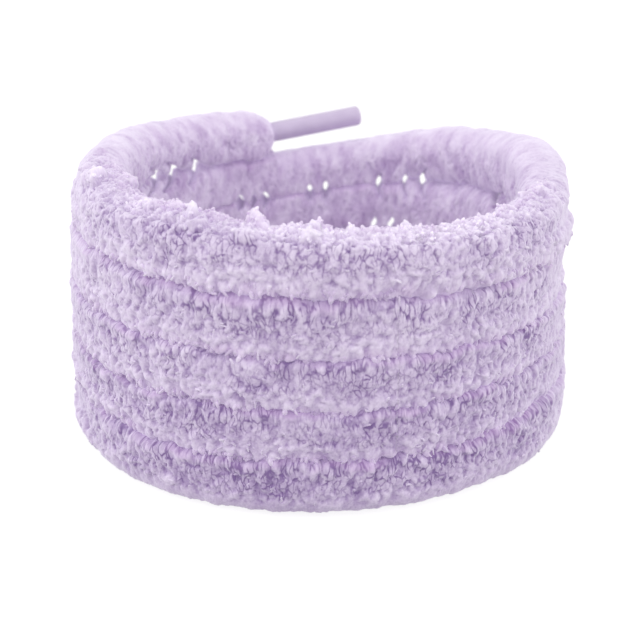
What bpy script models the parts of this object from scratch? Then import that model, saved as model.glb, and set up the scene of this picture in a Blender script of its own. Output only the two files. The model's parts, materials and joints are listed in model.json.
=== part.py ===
"""Fluffy pile cord (lace) with moulded tips, wound into a loose five-turn coil.

Units are metres, +Z is up.  The origin is the centre of the object's footprint
on the plane it rests on; the ring's own middle is RING_MIDDLE.  Angles named
theta are in degrees and follow the cord: they grow from its upper end,
counter-clockwise seen from above, one turn every 360 degrees.
"""
import math

import bmesh
import bpy
from mathutils import Matrix, Vector

MM = 0.001
COLLECTION = "fluffy_lace_coil"

# ---- cord section --------------------------------------------------------
PILE_HALF_WIDTH = 6.0 * MM      # radial half width of the fluffy cord
PILE_HALF_HEIGHT = 5.9 * MM     # half height where nothing presses on it
BORE_R = 2.0 * MM               # hollow the core runs in
CORE_R = 1.7 * MM               # braided core
CORE_END_BACK = 0.8 * MM        # the core stops short of the pile's end
GAP = 0.3 * MM                  # clearance between neighbours
SIDES = 12                      # corners of a pile cross-section

# ---- marks along the cord, degrees ---------------------------------------
TURNS = 5
THETA_TOP = 107.2               # upper end of the pile
THETA_TAIL = 141.0              # the free upper tail hinges here
THETA_CUT = 105.0               # turns change over at this bearing
THETA_CROSS = 1500.0            # middle of the step down to the resting turn
THETA_BOTTOM = 1800.0           # the lowest turn leaves the ring here
THETA_WIDEST = 1850.0           # the ring's radius stops growing here
STATION = 12.0                  # between cross-sections
END_MARGIN = 1.0                # no regular cross-section this near a turn's end

# ---- ring in plan --------------------------------------------------------
RING_MIDDLE = (-2.18 * MM, -1.68 * MM)
TOP_RADIUS = 45.9 * MM          # centreline radius of the upper turn
BOTTOM_RADIUS = 48.65 * MM      # centreline radius of the lowest turn
END_TUCK = 1.1 * MM             # upper end pulls towards the middle
TUCK_FADE = 0.2                 # turns over which the tuck dies away
LOOSE_BULGE = 1.7 * MM          # upper turn bulges where it hangs loose
BULGE_PLACE = (0.72, 0.2)       # turns from the upper end: centre, spread
OVAL_ACROSS = -1.6 * MM         # ring is slightly oval
OVAL_SKEW = 0.7 * MM

# ---- heights -------------------------------------------------------------
PITCH = 9.6 * MM                # height gained per turn
STEP_WIDTH = 107.5              # degrees taken by one step down
STEP_BLEND = (700.0, 700.0)     # climb changes into steps: start, length in degrees

LOOSE_LIFT = 2.1 * MM           # upper turn floats above the one below
LOOSE_RISE = (-0.042, 0.12)     # turns from the upper end: start, length
LOOSE_FALL = (0.84, 0.16)

HUMP_LIFT = 3.8 * MM            # hump before it drops below its own end
HUMP_PLACE = (400.0, 35.0)      # centre, spread
HUMP_FALL = (405.0, 60.0)       # start, length

TILT_X = -0.2 * MM              # lift of the upper turns on their +X side
TILT_Y = -1.55 * MM             # and on their +Y side
TILT_FADE = 1100.0              # degrees over which the tilt dies away

# Local lifts: lift, centre, spread.  The first stands the upper end up; in
# the others the upper turns have settled on each other.
LOCAL_LIFTS = (
    (1.3 * MM, 165.0, 40.0),
    (-1.1 * MM, 133.0, 24.0),
    (-1.7 * MM, 475.0, 35.0),
    (0.8 * MM, 760.0, 42.0),
    (-0.9 * MM, 840.0, 40.0),
)

# ---- tails ---------------------------------------------------------------
DOME_LENGTH = 7.5 * MM          # rounded end of the pile
DOME_END_SHARE = 0.44           # share of the section left at the end
TOP_DOME_SHARES = (0.0, 0.35, 0.6, 0.8, 0.92, 1.0)  # cross-sections along the dome
TOP_DOME_APPROACH = 1.6         # last one before it, dome lengths from the end

BOTTOM_TAIL_LENGTH = 36.0 * MM
BOTTOM_TAIL_BEND = 190.0 * MM   # radius it swings outwards on
BOTTOM_TAIL_STEPS = 12
BOTTOM_TAIL_FREE = (0.72, 0.2)  # share of its length where it fills out: start, length
# Just past THETA_BOTTOM the turn above stops resting on the tail: start, length.
BOTTOM_TAIL_CLEAR = (THETA_BOTTOM + 30.0, 12.0)

TOP_SWING_OUT = 30.0            # degrees the notches allow
TOP_SWING_IN = 12.0
BOTTOM_SWING_OUT = 50.0

# ---- aglets --------------------------------------------------------------
AGLET_R = 2.25 * MM
AGLET_WALL = 0.3 * MM
AGLET_LENGTH = 22.5 * MM
AGLET_TIP = 1.6 * MM            # solid end of the aglet
AGLET_CHAMFER = 0.35 * MM
AGLET_STAND_OFF = 1.8 * MM      # from the hinge to the aglet's root
AGLET_STEPS = 16
CORD_TIP_R = 1.65 * MM          # fused cord end inside the aglet
CORD_TIP_BEVEL = 0.35 * MM
CORD_TIP_SIDES = 12
TOP_AGLET_BEARING = 17.0        # degrees from +X, seen from above
TOP_AGLET_RISE = 7.0            # degrees above level
BOTTOM_AGLET_DROOP = 3.0        # degrees below level

# ---- colours -------------------------------------------------------------
LILAC_PILE = (0.70, 0.60, 0.76)
LILAC_CORE = (0.48, 0.37, 0.55)
LILAC_TIP = (0.55, 0.46, 0.65)
SHADE_STEP = 0.04               # each turn down is darker by this share


# ---- the cord's path -----------------------------------------------------
def clamp(x):
    return min(1.0, max(0.0, x))


def ramp(x, start, length):
    """Smooth rise from 0 at start to 1 at start + length."""
    x = clamp((x - start) / length)
    return x * x * (3.0 - 2.0 * x)


def bell(x, middle, spread):
    return math.exp(-((x - middle) / spread) ** 2)


def turns_from_top(theta):
    return (theta - THETA_TOP) / 360.0


def winding_height(theta):
    """Steady climb near the top, steps lower down, level on the resting plane."""
    turn = (theta - THETA_CROSS) / 360.0
    if turn > 0.5:
        level = 0.5
    else:
        whole = math.floor(turn + 0.5)
        width = STEP_WIDTH / 360.0
        stepped = whole + ramp(turn, whole - width / 2, width) - 0.5
        mix = ramp(theta, *STEP_BLEND)
        level = (1.0 - mix) * turn + mix * stepped
    return PITCH * (0.5 - level) + PILE_HALF_HEIGHT


def height(theta):
    """Centreline height above the resting plane."""
    along = turns_from_top(theta)
    bearing = math.radians(theta)
    tilt = clamp(1.0 - (theta - THETA_TOP) / TILT_FADE)
    z = winding_height(theta)
    z += LOOSE_LIFT * ramp(along, *LOOSE_RISE) * (1 - ramp(along, *LOOSE_FALL))
    z += tilt * (TILT_X * math.cos(bearing) + TILT_Y * math.sin(bearing))
    z += HUMP_LIFT * bell(theta, *HUMP_PLACE) * (1 - ramp(theta, *HUMP_FALL))
    return z + sum(lift * bell(theta, middle, spread) for lift, middle, spread in LOCAL_LIFTS)


def radius(theta):
    """Centreline radius from the ring's middle."""
    along = turns_from_top(theta)
    bearing = math.radians(theta)
    widening = clamp((theta - THETA_TOP) / (THETA_WIDEST - THETA_TOP))
    return (TOP_RADIUS + (BOTTOM_RADIUS - TOP_RADIUS) * widening
            - END_TUCK * math.exp(-along / TUCK_FADE)
            + LOOSE_BULGE * bell(along, *BULGE_PLACE)
            + OVAL_ACROSS * math.cos(2 * bearing) + OVAL_SKEW * math.sin(2 * bearing))


def centre(theta):
    bearing = math.radians(theta)
    reach = radius(theta)
    return Vector((RING_MIDDLE[0] + reach * math.cos(bearing),
                   RING_MIDDLE[1] + reach * math.sin(bearing), height(theta)))


def squeezed_half(upper, lower):
    """Half height of the pile where the cord at upper rests on that at lower."""
    return min(PILE_HALF_HEIGHT, (height(upper) - height(lower) - GAP) / 2)


def half_above(theta):
    """Half height above the centreline, under the turn above if there is one."""
    above = theta - 360.0
    if above < THETA_TOP:
        return PILE_HALF_HEIGHT
    return squeezed_half(above, theta)


def half_below(theta):
    """The same below: the next turn, the lower tail, or the resting plane."""
    free = min(PILE_HALF_HEIGHT, height(theta))
    below = theta + 360.0
    if below > sum(BOTTOM_TAIL_CLEAR):
        return free
    squeezed = squeezed_half(theta, below)
    return squeezed + (free - squeezed) * ramp(below, *BOTTOM_TAIL_CLEAR)


# ---- cross-sections ------------------------------------------------------
class Station:
    """One cross-section of the cord.

    pos is its centre, out the level direction away from the ring's middle,
    ahead the level direction of growing theta; above, below and wide are the
    pile's half sizes.
    """

    def __init__(self, pos, out, ahead, above, below):
        self.pos, self.out, self.ahead = pos, out, ahead
        self.above, self.below, self.wide = above, below, PILE_HALF_WIDTH

    def round_off(self, into_dome):
        """Shrink to the rounded end; into_dome runs from 0 to 1 at its end."""
        left = math.sqrt(max(DOME_END_SHARE ** 2, 1.0 - max(0.0, into_dome) ** 2))
        self.above *= left
        self.below *= left
        self.wide *= left

    def corners(self, to_local, lean):
        """Corners of the pile's outline and of the bore inside it.

        lean slants the outer and the inner half of the section along the
        cord, so that a hinged end has room to swing to either side.
        """
        half_side = 180.0 / SIDES
        flat = math.cos(math.radians(half_side))
        outline, bore = [], []
        for k in range(SIDES):
            angle = math.radians(half_side + 360.0 * k / SIDES)
            cos, sin = math.cos(angle), math.sin(angle)
            half = self.above if sin > 0 else self.below
            for ring, x, y in ((outline, self.wide * cos / flat, half * sin / flat),
                               (bore, BORE_R * cos, BORE_R * sin)):
                shift = x * lean[0] if x > 0 else -x * lean[1]
                ring.append(to_local @ (self.pos + self.out * x + Vector((0, 0, y))
                                        + self.ahead * shift))
        return outline, bore


def ring_station(theta):
    bearing = math.radians(theta)
    out = Vector((math.cos(bearing), math.sin(bearing), 0.0))
    ahead = Vector((-math.sin(bearing), math.cos(bearing), 0.0))
    return Station(centre(theta), out, ahead, half_above(theta), half_below(theta))


def half_gap_angle(theta):
    """Half the clearance, as degrees along the ring."""
    return math.degrees((GAP / 2) / radius(theta))


def stations_between(first, last):
    """Stations from first to last, ends drawn back by half the clearance."""
    trim = half_gap_angle(first)
    marks = [first + trim]
    base = THETA_CUT % STATION
    theta = (math.floor((first - base) / STATION) + 1) * STATION + base
    while theta < last - END_MARGIN:
        if theta > first + END_MARGIN:
            marks.append(theta)
        theta += STATION
    marks.append(last - trim)
    return [ring_station(mark) for mark in marks]


def notch_lean(swing):
    """Slant of each of the two faces that share a notch of this many degrees."""
    return math.tan(math.radians(swing / 2))


SQUARE_END = (0.0, 0.0)
TOP_NOTCH = (notch_lean(TOP_SWING_OUT), notch_lean(TOP_SWING_IN))
BOTTOM_NOTCH = (notch_lean(BOTTOM_SWING_OUT), 0.0)


def mirrored(notch):
    """Lean of the face on the other side of a notch."""
    return (-notch[0], -notch[1])


# ---- objects -------------------------------------------------------------
def clear_scene():
    for ob in list(bpy.data.objects):
        bpy.data.objects.remove(ob, do_unlink=True)
    for coll in list(bpy.data.collections):
        bpy.data.collections.remove(coll)


def link(ob):
    bpy.data.collections[COLLECTION].objects.link(ob)


def world_matrix(ob):
    """World matrix from the parent chain; matrix_world is stale until an update."""
    out = Matrix.Identity(4)
    while ob is not None:
        out = ob.matrix_basis @ out
        ob = ob.parent
    return out


def empty(name, location, parent=None, rotation=Matrix.Identity(3)):
    ob = bpy.data.objects.new(name, None)
    ob.empty_display_size = 10 * MM
    link(ob)
    ob.parent = parent
    world = Matrix.Translation(location) @ rotation.to_4x4()
    ob.matrix_basis = world_matrix(parent).inverted() @ world
    return ob


def add_piece(name, data, parent, mat):
    """New object around its mesh or curve, with parent and material."""
    ob = bpy.data.objects.new(name, data)
    link(ob)
    ob.parent = parent
    data.materials.append(mat)
    return ob


def pile_tube(name, stations, parent, mat, lean_start, lean_end):
    """Loft between the changing squeezed sections, hollow along the core."""
    to_local = world_matrix(parent).inverted()
    leans = [lean_start] + [SQUARE_END] * (len(stations) - 2) + [lean_end]
    bm = bmesh.new()
    rings = []
    for station, lean in zip(stations, leans):
        outline, bore = station.corners(to_local, lean)
        rings.append(([bm.verts.new(p) for p in outline], [bm.verts.new(p) for p in bore]))
    for (outer0, inner0), (outer1, inner1) in zip(rings, rings[1:]):
        for k in range(SIDES):
            n = (k + 1) % SIDES
            bm.faces.new((outer0[k], outer1[k], outer1[n], outer0[n]))
            bm.faces.new((inner0[k], inner0[n], inner1[n], inner1[k]))
    for (outer, inner), flip in ((rings[0], False), (rings[-1], True)):
        for k in range(SIDES):
            n = (k + 1) % SIDES
            quad = (outer[k], outer[n], inner[n], inner[k])
            bm.faces.new(quad[::-1] if flip else quad)
    bmesh.ops.recalc_face_normals(bm, faces=bm.faces)
    mesh = bpy.data.meshes.new(name)
    bm.to_mesh(mesh)
    bm.free()
    for poly in mesh.polygons:
        poly.use_smooth = True
    add_piece(name, mesh, parent, mat)


def core_cord(name, stations, parent, mat):
    """Round core through the stations' centres, its ends set back."""
    points = [station.pos.copy() for station in stations]
    points[0] += (points[1] - points[0]).normalized() * CORE_END_BACK
    points[-1] += (points[-2] - points[-1]).normalized() * CORE_END_BACK
    curve = bpy.data.curves.new(name, "CURVE")
    curve.dimensions = "3D"
    curve.bevel_depth = CORE_R
    curve.bevel_resolution = 2
    curve.use_fill_caps = True
    spline = curve.splines.new("POLY")
    spline.points.add(len(points) - 1)
    to_local = world_matrix(parent).inverted()
    for target, point in zip(spline.points, points):
        target.co = (*(to_local @ point), 1.0)
    spline.use_smooth = True
    add_piece(name, curve, parent, mat)


def aglet_sleeve(name, hinge, mat):
    """Closed sleeve: its profile, turned about the hinge's Z."""
    root, tip = AGLET_STAND_OFF, AGLET_STAND_OFF + AGLET_LENGTH
    outer, bore, chamfer = AGLET_R, AGLET_R - AGLET_WALL, AGLET_CHAMFER
    # Distance from the axis, height; from the tip down the outside, back up the bore.
    profile = (
        (0.0, tip),
        (outer - 2 * chamfer, tip),
        (outer - 0.6 * chamfer, tip - 0.4 * chamfer),
        (outer, tip - 1.6 * chamfer),
        (outer, root + 0.5 * chamfer),
        (outer - 0.5 * AGLET_WALL, root),
        (bore, root + 0.5 * chamfer),
        (bore, tip - AGLET_TIP),
        (0.0, tip - AGLET_TIP),
    )
    mesh = bpy.data.meshes.new(name)
    mesh.from_pydata([(x, 0.0, z) for x, z in profile],
                     [(i, i + 1) for i in range(len(profile) - 1)], [])
    screw = add_piece(name, mesh, hinge, mat).modifiers.new("Turn", "SCREW")
    screw.axis = "Z"
    screw.steps = AGLET_STEPS
    screw.render_steps = AGLET_STEPS
    screw.use_merge_vertices = True
    screw.merge_threshold = 0.01 * MM
    screw.use_smooth_shade = True


def cord_tip(name, hinge, mat):
    """Fused cord end inside the sleeve, with clearance at both ends."""
    length = AGLET_LENGTH - AGLET_TIP - 2 * GAP
    bpy.ops.mesh.primitive_cylinder_add(
        vertices=CORD_TIP_SIDES, radius=CORD_TIP_R, depth=length, end_fill_type="NGON",
        location=(0.0, 0.0, AGLET_STAND_OFF + GAP + length / 2))
    plug = bpy.context.object
    plug.name = plug.data.name = name
    for coll in list(plug.users_collection):
        coll.objects.unlink(plug)
    link(plug)
    plug.parent = hinge
    plug.data.materials.append(mat)
    bevel = plug.modifiers.new("Fused edge", "BEVEL")
    bevel.width = CORD_TIP_BEVEL
    bevel.segments = 1
    bevel.limit_method = "ANGLE"


def axis_frame(direction):
    """Rotation whose +Z is the direction and whose +Y stays level."""
    z = direction.normalized()
    y = Vector((0, 0, 1)).cross(z).normalized()
    x = y.cross(z)
    return Matrix((x, y, z)).transposed()


def aglet(prefix, root, direction, parent, mats):
    """Sleeve and cord tip along the +Z of an empty they hinge on."""
    hinge = empty(prefix + "_aglet", root, parent, axis_frame(direction))
    aglet_sleeve(prefix + "_aglet_sleeve", hinge, mats["tip"])
    cord_tip(prefix + "_cord_tip", hinge, mats["plug"])


# ---- materials -----------------------------------------------------------
def material(name, colour, roughness):
    mat = bpy.data.materials.new(name)
    mat.use_nodes = True
    shader = mat.node_tree.nodes["Principled BSDF"]
    shader.inputs["Base Color"].default_value = (*colour, 1.0)
    shader.inputs["Roughness"].default_value = roughness
    mat.diffuse_color = (*colour, 1.0)
    return mat


def pile_material(turn):
    """Pile of one turn, counted from 1 at the top."""
    shade = 1.0 - SHADE_STEP * (turn - 1)
    colour = tuple(channel * shade for channel in LILAC_PILE)
    return material("pile_%d" % turn, colour, roughness=0.95)


def make_materials():
    return {
        "piles": {turn: pile_material(turn) for turn in range(1, TURNS + 1)},
        "core": material("core_braid", LILAC_CORE, roughness=0.8),
        "tip": material("aglet_plastic", LILAC_TIP, roughness=0.35),
        "plug": material("fused_cord", LILAC_CORE, roughness=0.6),
    }


# ---- assembly ------------------------------------------------------------
def add_turns(mats):
    """Each turn is a body that slides up off the one below it."""
    ends = [THETA_TAIL] + [THETA_CUT + 360.0 * k for k in range(1, TURNS)] + [THETA_BOTTOM]
    bodies = {}
    for turn in range(TURNS, 0, -1):
        first, last = ends[turn - 1], ends[turn]
        location = Vector((*RING_MIDDLE, height((first + last) / 2)))
        body = empty("turn_%d" % turn, location, bodies.get(turn + 1))
        stations = stations_between(first, last)
        pile_tube("pile_turn_%d" % turn, stations, body, mats["piles"][turn],
                  lean_start=TOP_NOTCH if turn == 1 else SQUARE_END,
                  lean_end=mirrored(BOTTOM_NOTCH) if turn == TURNS else SQUARE_END)
        core_cord("core_turn_%d" % turn, stations, body, mats["core"])
        bodies[turn] = body
    return bodies


def add_top_tail(body, mats):
    """Upper tail: swings about a vertical axis where the cord comes free."""
    swing = empty("top_tail", centre(THETA_TAIL), body)
    dome = math.degrees(DOME_LENGTH / radius(THETA_TOP))
    marks = [THETA_TAIL - half_gap_angle(THETA_TAIL), THETA_TAIL - STATION,
             THETA_TOP + TOP_DOME_APPROACH * dome]
    marks += [THETA_TOP + dome * (1.0 - share) for share in TOP_DOME_SHARES]
    stations = [ring_station(theta) for theta in marks]
    for theta, station in zip(marks, stations):
        station.round_off((THETA_TOP + dome - theta) / dome)
    pile_tube("top_tail_pile", stations, swing, mats["piles"][1],
              lean_start=mirrored(TOP_NOTCH), lean_end=SQUARE_END)
    core_cord("top_tail_core", stations, swing, mats["core"])

    # The aglet lifts about a level axis at the end of the pile.
    bearing, rise = math.radians(TOP_AGLET_BEARING), math.radians(TOP_AGLET_RISE)
    direction = Vector((math.cos(rise) * math.cos(bearing),
                        math.cos(rise) * math.sin(bearing), math.sin(rise)))
    aglet("top", centre(THETA_TOP), direction, swing, mats)


def bottom_tail_station(run, start):
    """Station at this distance past THETA_BOTTOM, on an arc bending outwards."""
    turn = run / BOTTOM_TAIL_BEND
    cos, sin = math.cos(turn), math.sin(turn)
    pos = (start.pos + start.ahead * (BOTTOM_TAIL_BEND * sin)
           + start.out * (BOTTOM_TAIL_BEND * (1 - cos)))
    ahead = start.ahead * cos + start.out * sin
    out = start.out * cos - start.ahead * sin
    full, squeezed = height(THETA_BOTTOM), start.above
    above = squeezed + (full - squeezed) * ramp(run / BOTTOM_TAIL_LENGTH, *BOTTOM_TAIL_FREE)
    station = Station(pos, out, ahead, above, full)
    station.round_off((run - BOTTOM_TAIL_LENGTH + DOME_LENGTH) / DOME_LENGTH)
    return station


def add_bottom_tail(body, mats):
    """Lower tail: leaves the resting turn and bends away from the ring."""
    start = ring_station(THETA_BOTTOM)
    swing = empty("bottom_tail", start.pos, body)
    runs = [GAP / 2] + [BOTTOM_TAIL_LENGTH * i / BOTTOM_TAIL_STEPS
                        for i in range(1, BOTTOM_TAIL_STEPS + 1)]
    stations = [bottom_tail_station(run, start) for run in runs]
    pile_tube("bottom_tail_pile", stations, swing, mats["piles"][TURNS],
              lean_start=BOTTOM_NOTCH, lean_end=SQUARE_END)
    core_cord("bottom_tail_core", stations, swing, mats["core"])

    end = stations[-1]
    droop = math.radians(BOTTOM_AGLET_DROOP)
    direction = end.ahead * math.cos(droop) - Vector((0, 0, math.sin(droop)))
    aglet("bottom", end.pos, direction, swing, mats)


def build():
    clear_scene()
    parts = bpy.data.collections.new(COLLECTION)
    bpy.context.scene.collection.children.link(parts)
    mats = make_materials()
    bodies = add_turns(mats)
    add_top_tail(bodies[1], mats)
    add_bottom_tail(bodies[TURNS], mats)


build()
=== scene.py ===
"""A fluffy lilac lace wound into a coil of five turns, with a plastic tip at each end.

The coil stands on the floor, z = 0, round a vertical axis through MIDDLE.  The lace starts
with the upper tail at the back, winds down counter-clockwise as seen from above, and leaves
the lowest turn as the lower tail.  The front, where the camera is, is -Y.
Lengths are in millimetres until they are written to a mesh.  Bearings are in degrees,
counter-clockwise from +X, and run on from one turn to the next.
"""
import json
import math

import bpy
import numpy as np
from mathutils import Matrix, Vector


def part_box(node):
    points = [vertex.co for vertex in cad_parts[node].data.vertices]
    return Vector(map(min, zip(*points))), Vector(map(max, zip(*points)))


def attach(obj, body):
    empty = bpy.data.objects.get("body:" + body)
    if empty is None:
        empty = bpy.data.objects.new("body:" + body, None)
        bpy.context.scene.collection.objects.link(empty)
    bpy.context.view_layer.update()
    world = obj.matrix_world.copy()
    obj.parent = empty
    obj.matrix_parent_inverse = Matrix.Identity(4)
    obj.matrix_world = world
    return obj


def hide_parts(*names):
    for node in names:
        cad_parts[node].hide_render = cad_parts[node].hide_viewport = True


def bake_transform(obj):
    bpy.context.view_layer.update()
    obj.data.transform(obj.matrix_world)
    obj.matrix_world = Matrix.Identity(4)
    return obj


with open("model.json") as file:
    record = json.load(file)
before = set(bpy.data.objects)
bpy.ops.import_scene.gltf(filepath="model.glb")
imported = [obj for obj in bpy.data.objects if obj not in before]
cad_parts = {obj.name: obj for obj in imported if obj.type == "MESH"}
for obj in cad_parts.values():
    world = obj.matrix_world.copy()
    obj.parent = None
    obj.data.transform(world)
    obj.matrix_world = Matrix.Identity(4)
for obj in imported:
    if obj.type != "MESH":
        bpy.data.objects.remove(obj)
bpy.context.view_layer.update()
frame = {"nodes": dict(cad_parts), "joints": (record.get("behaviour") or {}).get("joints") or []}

MM = 0.001
RNG = np.random.default_rng(20)
UP = np.array([0.0, 0.0, 1.0])

# ---------------------------------------------------------------------------
# The path of the cord, by the same rule as the frame
# ---------------------------------------------------------------------------
MIDDLE = np.array([-2.18, -1.68, 0.0])
EYE = MIDDLE + np.array([0.2, -263.1, 120.4])       # where the camera stands
CORD_HALF = 5.9             # centre line of the lowest turn over the floor
PITCH = 9.6
TOP_BEARING = 107.2         # upper end of the lace
TURN_1_BEARING = 141.0      # where the upper tail becomes turn 1
CUT_BEARING = 105.0         # turns are cut here, once per round
CROSS_BEARING = 1500.0      # middle of the last step down
BOTTOM_BEARING = 1800.0     # where turn 5 becomes the lower tail
TAIL_RUN, TAIL_BEND = 36.0, 190.0                   # lower tail: length, bend radius
MM_PER_DEGREE = 0.84        # run along a turn
TURN_ENDS = [TURN_1_BEARING] + [CUT_BEARING + 360.0 * k for k in range(1, 5)] + [BOTTOM_BEARING]

# local rises and dips of the centre line: mm, bearing, half width in degrees
HEIGHT_WAVES = ((-1.1, 133.0, 24.0), (-1.7, 475.0, 35.0), (0.8, 760.0, 42.0),
                (-0.9, 840.0, 40.0), (1.3, 165.0, 40.0))


def smooth(x):
    x = np.clip(x, 0.0, 1.0)
    return x * x * (3.0 - 2.0 * x)


def step(value, start, width):
    """Smooth rise from 0 at start to 1 at start + width."""
    return smooth((value - start) / width)


def drop(value, end, width):
    """Smooth fall from 1 at end - width to 0 at end."""
    return smooth((end - value) / width)


def bell(value, centre, width):
    return np.exp(-((value - centre) / width) ** 2)


def height(bearing):
    """Height of the centre line: an even slope above, level turns with steps below."""
    turn = (bearing - CROSS_BEARING) / 360.0
    whole = np.floor(turn + 0.5)
    width = 107.5 / 360.0
    stepped = whole + step(turn - whole, -width / 2, width) - 0.5
    mix = step(bearing, 700.0, 700.0)
    level = np.where(turn > 0.5, 0.5, (1 - mix) * turn + mix * stepped)
    z = PITCH * (0.5 - level) + CORD_HALF
    # the first turn rides high, and the upper turns lean
    along = (bearing - TOP_BEARING) / 360.0
    z = z + 2.1 * smooth(along / 0.12 + 0.35) * (1 - step(along, 0.84, 0.16))
    lean = np.clip(1.0 - (bearing - TOP_BEARING) / 1100.0, 0, 1)
    angle = np.radians(bearing)
    z = z + lean * (-0.2 * np.cos(angle) - 1.55 * np.sin(angle))
    # hump over the start of turn 2
    z = z + 3.8 * bell(bearing, 400.0, 35.0) * (1 - step(bearing, 405.0, 60.0))
    for size, centre, width in HEIGHT_WAVES:
        z = z + size * bell(bearing, centre, width)
    return z


def radius(bearing):
    """Radius of the centre line: it widens downward and is slightly oval."""
    share = np.clip((bearing - TOP_BEARING) / (1850.0 - TOP_BEARING), 0, 1)
    along = (bearing - TOP_BEARING) / 360.0
    angle = np.radians(bearing)
    return (45.9 + 2.75 * share - 1.1 * np.exp(-along / 0.2) + 1.7 * bell(along, 0.72, 0.2)
            - 1.6 * np.cos(2 * angle) + 0.7 * np.sin(2 * angle))


def check_frame():
    """Stop if the path strays from the frame's turns."""
    core_half, tolerance = 1.7, 0.5
    for k in range(1, 6):
        low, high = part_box("core_turn_%d" % k)
        z = height(np.linspace(TURN_ENDS[k - 1], TURN_ENDS[k], 400))
        gap = max(abs(low.z / MM + core_half - z.min()), abs(high.z / MM - core_half - z.max()))
        if gap > tolerance:
            raise RuntimeError("turn %d is %.2f mm away from the frame" % (k, gap))


check_frame()

# Samples of the coil
coil_bearing = np.arange(TOP_BEARING - 3.0, BOTTOM_BEARING + 1e-6, 0.5)
coil_height = height(coil_bearing)
coil_radius = radius(coil_bearing)
coil_cos = np.cos(np.radians(coil_bearing))
coil_sin = np.sin(np.radians(coil_bearing))
coil_point = np.stack([coil_radius * coil_cos, coil_radius * coil_sin, coil_height], 1) + MIDDLE
coil_out = np.stack([coil_cos, coil_sin, 0 * coil_cos], 1)
coil_ahead = np.stack([-coil_sin, coil_cos, 0 * coil_cos], 1)

# distance between centre lines to the turns above and below; NO_TURN where there is none
NO_TURN = 99.0
above, below = coil_bearing - 360.0, coil_bearing + 360.0
coil_room_up = np.where(above < TOP_BEARING - 4.0, NO_TURN,
                        height(np.maximum(above, TOP_BEARING)) - coil_height)
coil_room_down = np.where(below > BOTTOM_BEARING + 42.0, NO_TURN,
                          coil_height - height(np.minimum(below, 2000.0)))
beside_tail = step(below, BOTTOM_BEARING + 30.0, 12.0)
coil_room_down = np.where(coil_room_down < 90, coil_room_down + beside_tail * 4.0, NO_TURN)

# Samples of the lower tail, which bends outward
tail_run = np.arange(0.4, TAIL_RUN + 1.2, 0.4)
tail_angle = tail_run / TAIL_BEND
tail_cos, tail_sin = np.cos(tail_angle)[:, None], np.sin(tail_angle)[:, None]
tail_point = (coil_point[-1] + coil_ahead[-1] * (TAIL_BEND * tail_sin)
              + coil_out[-1] * (TAIL_BEND * (1 - tail_cos)))

# The whole lace; PATH_RUN is the length run from its upper end
PATH_POINT = np.concatenate([coil_point, tail_point])
PATH_OUT = np.concatenate([coil_out, coil_out[-1] * tail_cos - coil_ahead[-1] * tail_sin])
PATH_AHEAD = np.concatenate([coil_ahead, coil_ahead[-1] * tail_cos + coil_out[-1] * tail_sin])
PATH_BEARING = np.concatenate([coil_bearing, BOTTOM_BEARING + tail_run / MM_PER_DEGREE])
PATH_RUN = np.concatenate(
    [[0.0], np.cumsum(np.linalg.norm(np.diff(PATH_POINT, axis=0), axis=1))])
LENGTH = PATH_RUN[-1]
ROOM_UP = np.concatenate([coil_room_up, PITCH + 4.0 * step(tail_run / TAIL_RUN, 0.72, 0.2)])
ROOM_DOWN = np.concatenate([coil_room_down, NO_TURN + 0 * tail_run])
ROOM_FLOOR = np.concatenate([coil_height, CORD_HALF + 0 * tail_run])


def run_at(bearing):
    return float(np.interp(bearing, PATH_BEARING, PATH_RUN))


def at(run, table):
    """Value of a table along the path at the given runs."""
    if table.ndim == 1:
        return np.interp(run, PATH_RUN, table)
    return np.stack([np.interp(run, PATH_RUN, table[:, i]) for i in range(3)], -1)


# ---------------------------------------------------------------------------
# Cross section of the pile.  Pairs hold the values for the upper and lower side.
# ---------------------------------------------------------------------------
HALF_WIDTH = 6.05
MEAN_RADIUS = 6.0       # turns angles round the section into millimetres
FREE_REACH = 6.0        # half height where no turn is near
TOUCH_ROOM = 14.4       # turns closer than this touch
INSET = 1.0             # how far the mat lies below the tips of the pile
DOME = 7.8              # length of the rounded ends of the pile

# waves of the line between two turns: mm, waves per radian, phase
SEAM_WAVES = ((0.26, 6.7, 1.0), (0.24, 17.9, 2.2), (0.20, 31.7, 0.0),
              (0.14, 53.0, 0.7), (0.13, 97.0, 1.9), (0.11, 171.0, 0.0))

# Places at the back where light shows between two turns: bearing of the upper turn,
# half width in mm, mm slimmer than where the pile only just touches
PARTINGS = ((129.6, 1.2, 0.50), (138.6, 1.1, 0.65), (145.5, 1.2, 0.70), (390.0, 0.6, 0.1),
            (419.4, 0.7, 0.0), (425.0, 0.5, 0.0), (432.8, 0.9, 0.02), (448.2, 0.9, 0.0),
            (452.7, 0.9, 0.0), (465.7, 1.1, 0.5), (469.2, 0.7, 0.4), (473.1, 1.1, 0.6),
            (771.7, 0.9, 0.9), (774.6, 0.7, 0.4), (789.0, 1.0, 0.6), (794.0, 0.9, 0.6))


def reach(room):
    """Half height of the pile; it still reaches across where turns stand a little apart."""
    near = room / 2 - 0.05
    far = FREE_REACH + 1.2 * (1 - step(room, TOUCH_ROOM, 1.6))
    return np.where(room < TOUCH_ROOM, near, far)


def seam(bearing):
    """How far the line between a turn and the next one wanders up or down."""
    angle = np.radians(bearing)
    return sum(size * np.sin(rate * angle + phase) for size, rate, phase in SEAM_WAVES)


def pressure(room):
    """How hard a side presses on its neighbour; at the back the turns stay rounder."""
    back = step(np.sin(np.radians(PATH_BEARING)), 0.15, 0.25)
    return back * drop(room, 12.7, 1.6) + (1 - back) * drop(room, 13.8, 1.4)


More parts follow.
